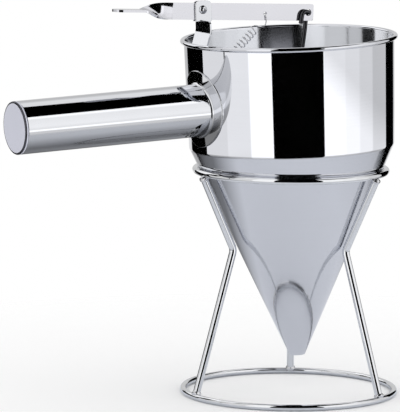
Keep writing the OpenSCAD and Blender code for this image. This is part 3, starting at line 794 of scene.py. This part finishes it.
# %% Turn the screw
bm = bmesh.new()
dome_r = (HEAD_R ** 2 + HEAD_RISE ** 2) / (2 * HEAD_RISE)
dome_from = math.degrees(math.acos((dome_r - HEAD_RISE) / dome_r))
shank = [(0, NUT_TOP - NUT_T), (SHANK_R, NUT_TOP - NUT_T), (SHANK_R, EAR_OUT)]
head = [(HEAD_R - 0.15, EAR_OUT), (HEAD_R, EAR_OUT + 0.12), (HEAD_R, EAR_OUT + 0.3)]
dome = arc((0, HEAD_TOP - dome_r), dome_r, 90 - dome_from + 4, 90, 12)
lathe(bm, shank + head + dome, 64)
screw = finish_piece(bm, "button_screw", on_pivot)
bm = bmesh.new()
bmesh.ops.create_cone(bm, cap_ends=True, segments=6, radius1=1.15, radius2=1.15, depth=2,
                      matrix=Matrix.Translation((0, 0, HEAD_TOP)))
cut_away(screw, finish_piece(bm, "socket", on_pivot))
dress(screw, "funnel", "screw_steel", "pivot_screw", turned_bright)

# %% Turn the washer and shape the nut
bm = bmesh.new()
lathe(bm, [(PIVOT_HOLE_R, NUT_TOP), (2.9, NUT_TOP), (3, NUT_TOP + 0.1), (3, -EAR_OUT - 0.1),
           (2.9, -EAR_OUT), (PIVOT_HOLE_R, -EAR_OUT)], 48, closed=True)
dress(finish_piece(bm, "thin_washer", on_pivot), "funnel", "screw_steel", "pivot_washer", turned_bright)

bm = bmesh.new()
bmesh.ops.create_cone(bm, cap_ends=True, segments=6, radius1=NUT_R, radius2=NUT_R, depth=NUT_T,
                      matrix=Matrix.Translation((0, 0, NUT_TOP - NUT_T / 2)))
soften(bm, 0.2, 3, 40)
cap = bmesh.new()
lathe(cap, [(0, NUT_TOP - NUT_T)] + arc((0, NUT_TOP - NUT_T), 2.55, 0, -90, 12), 48)
add_to(bm, cap)
dress(finish_piece(bm, "cap_nut", on_pivot), "funnel", "screw_steel", "pivot_nut", turned_bright)

# %% [markdown]
# ## The lift rod and the valve
# The rod hangs in the lever's last hole: it leans out of the bowl's axis, passes behind the lever, goes
# through the hole and hooks down in front. Its path is a list of corners with a bend radius each. At its
# lower end sits the valve plug, and the seat is a turned ring in the cone's tip.

# %% Bend the rod
ROD_R = 1.5
ROD_Y = LEVER_T / 2 + 0.35 + ROD_R
SEAT_TOP = OUTLET_Z + 8
hook_x, hook_z = on_lever(*ROD_HOLE)
hook_x += 0.2
rod_corners = [Vector(p) for p in (
    (0, 0, SEAT_TOP), (0, 0, 178), (hook_x - 1.2, ROD_Y, hook_z - 10.8), (hook_x + 0.3, ROD_Y, hook_z - 0.1),
    (hook_x - 0.3, -ROD_Y, hook_z + 0.1), (hook_x - 5.4, -ROD_Y, hook_z + 1.8),
    (hook_x - 7.2, -ROD_Y, hook_z - 6.9))]
# The rod is steel, but its colour is set almost black: a painted dark reflection of the dark bowl and flags
# round it.
rod_painted_dark = steel("rod_painted_dark", (0.07, 0.07, 0.075), 0.06, (500, 500, 30), 0.0000015, 0.00001, LEANED,
                   smudge=0.04)
bm = bmesh.new()
bend_wire(bm, bent(rod_corners, [20, 10, 2.2, 2.2, 3]), ROD_R, 28)
dress(finish_piece(bm, "hook_rod", LEANED), "rod", "rod_steel", "lift_rod", rod_painted_dark)

# %% Turn the seat and the plug
turned_dull = steel("turned_dull", (0.70, 0.71, 0.73), 0.14, (40, 40, 1800), 0.000006, 0.0, LEANED,
                    smudge=0.06)
SEAT_BORE_R = 3.5
NECK_R = 2.7
seat_high = (inside_radius(SEAT_TOP) - 0.6, SEAT_TOP)
seat_low = (SEAT_BORE_R, OUTLET_Z + 3.2)
bm = bmesh.new()
lathe(bm, [(SEAT_BORE_R, OUTLET_Z + 0.15), (SEAT_BORE_R + 0.15, OUTLET_Z + 0.02),
           (inside_radius(OUTLET_Z) - 0.02, OUTLET_Z + 0.02), (inside_radius(SEAT_TOP) - 0.02, SEAT_TOP),
           seat_high, seat_low], 96, closed=True)
dress(finish_piece(bm, "turned_seat", LEANED), "funnel", "turned_steel", "outlet_seat", turned_dull)

line = Vector((seat_high[0] - seat_low[0], seat_high[1] - seat_low[1])).normalized()
low = Vector(seat_low) + 0.1 * Vector((-line.y, line.x)) - 1.4 * line
high = low + 7 * line
band = high + Vector((0, 1.6))
bm = bmesh.new()
lathe(bm, [(0, low.y + 0.05), (low.x - 0.15, low.y + 0.05), tuple(low + 0.15 * line),
           tuple(high - 0.1 * line), (high.x, high.y + 0.1), (band.x, band.y - 0.1)]
      + arc((NECK_R, band.y), band.x - NECK_R, 4, 60, 8)
      + [(NECK_R, SEAT_TOP + 10.7), (NECK_R, SEAT_TOP + 12.7), (NECK_R - 0.2, SEAT_TOP + 13),
         (ROD_R + 0.02, SEAT_TOP + 13), (ROD_R + 0.02, SEAT_TOP + 8)], 96)
dress(finish_piece(bm, "valve_plug", LEANED), "rod", "turned_steel", "stopper", turned_dull)

# %% [markdown]
# ## The return spring
# An open coil pulls the lever down again. It is one wire: a hook through the lug, fifteen turns, and a hook
# through the lever. When the thumb presses, its upper end rises with the lever while its lower end stays. The
# piece rides on no body.

# %% Set out the coil
WIRE_R = 0.4
COILS = 15
COIL_R = 2.75
eye = on_lever(*SPRING_HOLE)
coil_low = Vector((3.4 - LUG_EYE, 0, PAD_Z[0] + 8.7))
coil_high = Vector((eye[0] - 8.6, 0, eye[1] - 10.4))
coil_way = (coil_high - coil_low).normalized()
coil_side = Vector((-coil_way.z, 0, coil_way.x))
STEPS = 24
coil = []
for i in range(COILS * STEPS + 1):
    turn = 2 * math.pi * i / STEPS
    coil.append(coil_low.lerp(coil_high, i / (COILS * STEPS))
                + COIL_R * (math.cos(turn) * coil_side + Vector((0, math.sin(turn), 0))))
print("coil of", len(coil), "points,", round((coil_high - coil_low).length, 1), "mm long")

# %% Set out the hooks
EYE_Y = LEVER_T / 2 + 0.3 + WIRE_R
low_hook = [Vector(p) for p in (
    (1.4 - LUG_TIP, 0, PAD_Z[0] + 1.4), (1 - LUG_TIP, 0, PAD_Z[0] - 0.6), (2.6 - LUG_EYE, 0, PAD_Z[0] - 2),
    (0.4 - LUG_EYE, 0, PAD_Z[0] - 0.6), (-LUG_EYE, 0, PAD_Z[0] + 2.4), (-LUG_EYE, 0, PAD_Z[0] + 7))]
high_hook = [Vector((eye[0] + x, y, eye[1] + z)) for x, y, z in (
    (-7.1, -0.6, -7.5), (-3.5, -1, -8.4), (-0.9, -EYE_Y, -7.8), (0.2, -EYE_Y, -5.1), (0, -EYE_Y, -0.6),
    (0, 0, 0), (0, EYE_Y, -0.7), (-0.4, EYE_Y, -3.4))]
print("hooks of", len(low_hook), "and", len(high_hook), "points")

# %% Wind the spring
spring_bright = steel("spring_bright", (0.90, 0.90, 0.92), 0.09, (400, 400, 400), 0.000002, 0.0, LEANED,
                      smudge=0.06)
bm = bmesh.new()
bend_wire(bm, smooth(low_hook + [coil[0]])[:-1] + coil + smooth([coil[-1]] + high_hook)[1:], WIRE_R, 12)
spring = finish_piece(bm, "pull_spring", LEANED, sharp=60)
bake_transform(spring)
dress(spring, None, "spring_steel", "return_spring", spring_bright)

# %% [markdown]
# ## The floor
# A plain matt sheet carries the stand and its soft shadow. Its edge fades into the white behind it, so no
# horizon shows. Mirrors see a greyer sheet that darkens under the handle, as a table does away from its
# lamps. The sheet belongs to the stage and not to the object.

# %% Lay the floor
FLOOR_R = 0.5
bm = bmesh.new()
bmesh.ops.create_circle(bm, cap_ends=True, segments=96, radius=FLOOR_R / MM)
floor = finish_piece(bm, "floor_sheet")
floor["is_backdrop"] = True
print("floor", 2 * FLOOR_R, "m across")

# %% [markdown]
# The fade is a mix of matt paper and nothing, by the distance from the middle. What mirrors see is a grey
# that two ramps make, one outwards and one towards the far side of the handle, and the Light Path node tells
# a mirror's rays from the others.

# %% Colour the floor
matt = bpy.data.materials.new("floor_matt")
matt.use_nodes = True
tree = matt.node_tree
tree.nodes.clear()
where = node(tree, "ShaderNodeTexCoord").outputs["Object"]
distance = node(tree, "ShaderNodeVectorMath", {0: where}, operation="LENGTH")
fade = node(tree, "ShaderNodeMapRange", {0: distance.outputs["Value"], 1: 0.28, 2: 0.48, 3: 0.0, 4: 1.0},
            interpolation_type="SMOOTHSTEP")
across = node(tree, "ShaderNodeSeparateXYZ", {
    0: node(tree, "ShaderNodeMapping", {"Vector": where, "Rotation": (0, 0, math.radians(-120))}).outputs[0]})
away = node(tree, "ShaderNodeMapRange", {0: across.outputs[0], 1: 0.12, 2: 0.26, 3: 1.0, 4: 0.3})
outwards = node(tree, "ShaderNodeMapRange", {0: distance.outputs["Value"], 1: 0.18, 2: 0.4, 3: 0.84, 4: 0.58})
level = node(tree, "ShaderNodeMath", {0: away.outputs[0], 1: outwards.outputs[0]}, operation="MULTIPLY")
grey = node(tree, "ShaderNodeMix", {0: level.outputs[0], 6: (0, 0, 0, 1), 7: (0.96, 0.985, 1.04, 1)},
            data_type="RGBA")
mirrored = node(tree, "ShaderNodeLightPath").outputs["Is Glossy Ray"]
look = node(tree, "ShaderNodeMix", {0: mirrored, 6: (1, 1, 1, 1), 7: grey.outputs[2]}, data_type="RGBA")
paper = node(tree, "ShaderNodeBsdfDiffuse", {"Color": look.outputs[2]})
nothing = node(tree, "ShaderNodeBsdfTransparent")
mixed = node(tree, "ShaderNodeMixShader", {0: fade.outputs[0], 1: paper.outputs[0], 2: nothing.outputs[0]})
node(tree, "ShaderNodeOutputMaterial", {"Surface": mixed.outputs[0]})
floor.data.materials.append(matt)
print("floor's material:", matt.name)

# %% [markdown]
# ## The studio
# Polished steel shows the room and hardly itself. A photographer therefore stands a tent of white cloth round
# it, hangs black flags before the cloth, and draws the shape with their edges. Here a tall drum is the cloth,
# and the flags are pieces of a slightly narrower drum, with one more overhead. Glossy rays alone see them, so
# they neither light the floor nor throw a shadow. The light itself is a plain white world.

# %% Sew the cloth and the flags
FRONT = math.atan2(towards_camera.y, towards_camera.x)


def hang(bm, name, material):
    """Hangs a piece of the studio where glossy rays alone see it."""
    cloth = finish_piece(bm, name)
    for ray in ("camera", "diffuse", "shadow", "transmission", "volume_scatter"):
        setattr(cloth, "visible_" + ray, False)
    cloth.data.materials.append(material)
    cloth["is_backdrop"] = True


def upright(name, material, radius, start, stop, low, high):
    """Cloth round the object, in degrees from the camera towards the picture's right, and in metres."""
    bm = bmesh.new()
    side = Matrix.Rotation(FRONT + math.radians(start), 3, "Z") @ Vector((radius / MM, 0, 0))
    verts = [bm.verts.new((side.x, side.y, z / MM)) for z in (low, high)]
    edge = bm.edges.new(verts)
    bmesh.ops.spin(bm, geom=[*verts, edge], cent=(0, 0, 0), axis=(0, 0, 1),
                   angle=math.radians(stop - start), steps=math.ceil((stop - start) / 2),
                   use_merge=stop - start == 360)
    hang(bm, name, material)


def glowing(name):
    """A bare glowing material, and its tree."""
    made = bpy.data.materials.new(name)
    made.use_nodes = True
    made.node_tree.nodes.clear()
    glow = node(made.node_tree, "ShaderNodeEmission", {"Color": (0, 0, 0, 1), "Strength": 1.0})
    node(made.node_tree, "ShaderNodeOutputMaterial", {"Surface": glow.outputs[0]})
    return made, made.node_tree, glow


black = glowing("black_cloth")[0]

# %% [markdown]
# The cloth isn't equally bright all round. Each mark below is an angle and the brightness from there to the
# next mark, with a short soft step between them. A second ramp dims the cloth over its height, because a lamp
# behind it stands low.

# %% The marks and a helper for ramps
STRIPES = ((-180, 0.85), (-150, 1.5), (-109, 0.98), (-75, 1.1), (-46, 1.5), (61.3, 1.4),
           (80, 1.25), (100, 1.0), (157, 0.85))
SOFT = 0.4
LOWEST, HIGHEST = -0.2, 1.6
HEIGHTS = ((-0.155, 0.55), (-0.105, 1), (0.02, 1), (0.06, 0.7), (0.3, 0.8), (1.1, 0.75), (1.25, 0.95))


def brightness(tree, share, marks):
    """A ramp over marks of (share, brightness)."""
    made = node(tree, "ShaderNodeValToRGB", {0: share})
    elements = made.color_ramp.elements
    while len(elements) < len(marks):
        elements.new(0.5)
    for element, (at, level) in zip(elements, marks):
        element.position = at
        element.color = (level, level, level, 1)
    return made.outputs[0]


# %% Paint the cloth
white, tree, glow = glowing("white_cloth")
where = node(tree, "ShaderNodeTexCoord").outputs["Object"]
parts = node(tree, "ShaderNodeSeparateXYZ", {
    0: node(tree, "ShaderNodeMapping", {"Vector": where, "Rotation": (0, 0, -FRONT)}).outputs[0]})
angle = node(tree, "ShaderNodeMath", {0: parts.outputs[1], 1: parts.outputs[0]}, operation="ARCTAN2")
turn = node(tree, "ShaderNodeMapRange", {0: angle.outputs[0], 1: -math.pi, 2: math.pi, 3: 0.0, 4: 1.0})
level = node(tree, "ShaderNodeMapRange", {0: parts.outputs[2], 1: LOWEST, 2: HIGHEST, 3: 0.0, 4: 1.0})
marks = [(0, STRIPES[0][1])]
for (_, before), (start, after) in zip(STRIPES, STRIPES[1:]):
    marks += [((start + 180 - SOFT) / 360, before), ((start + 180 + SOFT) / 360, after)]
round_it = brightness(tree, turn.outputs[0], marks)
up_it = brightness(tree, level.outputs[0],
                   [((z - LOWEST) / (HIGHEST - LOWEST), bright) for z, bright in HEIGHTS])
both = node(tree, "ShaderNodeMix", {0: 1.0, 6: round_it, 7: up_it}, data_type="RGBA", blend_type="MULTIPLY")
tree.links.new(both.outputs[2], glow.inputs["Color"])
print("cloth with", len(STRIPES), "stripes")

# %% [markdown]
# The flag in front draws the black band down the middle of the wall, and the ones behind and low at the side
# draw its dark edges. The pole is the thin line beside the handle, the high flag ends the light patch inside
# the bowl, and the one overhead draws the black line along the handle. Its corners are metres towards the
# camera and to the picture's right.

# %% Hang them
CLOTH_R = 1.3
FLAG_R = 1.28
CLOTH_LOW, CLOTH_TOP = -1.3, 1.55
upright("white_drum", white, CLOTH_R, -180, 180, CLOTH_LOW, CLOTH_TOP)
upright("flag_in_front", black, FLAG_R, -20, 35.6, CLOTH_LOW, 2.4)
upright("flag_behind", black, FLAG_R, 127.8, 157, CLOTH_LOW, CLOTH_TOP)
upright("low_flag", black, FLAG_R, -150, -109, CLOTH_LOW, 0.38)
upright("stand_pole", black, FLAG_R, -76, -74.5, -0.05, CLOTH_TOP)
upright("high_flag", black, FLAG_R, -118, -96, 0.34, 1.1)
bm = bmesh.new()
corners = [(-0.45, -0.3), (CLOTH_R, -0.3), (CLOTH_R, CLOTH_R), (-0.45, CLOTH_R)]
bm.faces.new([bm.verts.new((x / MM, y / MM, CLOTH_TOP / MM)) for x, y in corners])
bmesh.ops.rotate(bm, verts=bm.verts, cent=(0, 0, 0), matrix=Matrix.Rotation(FRONT, 3, "Z"))
hang(bm, "flag_overhead", black)
print("flags hang", FLAG_R, "m away")

# %% [markdown]
# ## Light
# The world is white at strength 1 all round, so a colour renders about as it is written.

# %% Switch the world on
world = bpy.data.worlds.new("white_world")
world.use_nodes = True
world.node_tree.nodes["Background"].inputs["Color"].default_value = (1, 1, 1, 1)
world.node_tree.nodes["Background"].inputs["Strength"].default_value = 1.0
bpy.context.scene.world = world
bpy.context.scene.view_settings.view_transform = "Standard"

# %% [markdown]
# ## Measure and finish
# The dressed object has to stay inside the measured one, so both boxes are printed side by side.

# %% Print the two boxes
visual_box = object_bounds()
boxes = {"cad": [list(corner) for corner in measured_box], "visual": [list(corner) for corner in visual_box]}
for label, (lowest, highest) in boxes.items():
    print(label, [round((b - a) / MM, 2) for a, b in zip(lowest, highest)], "mm")
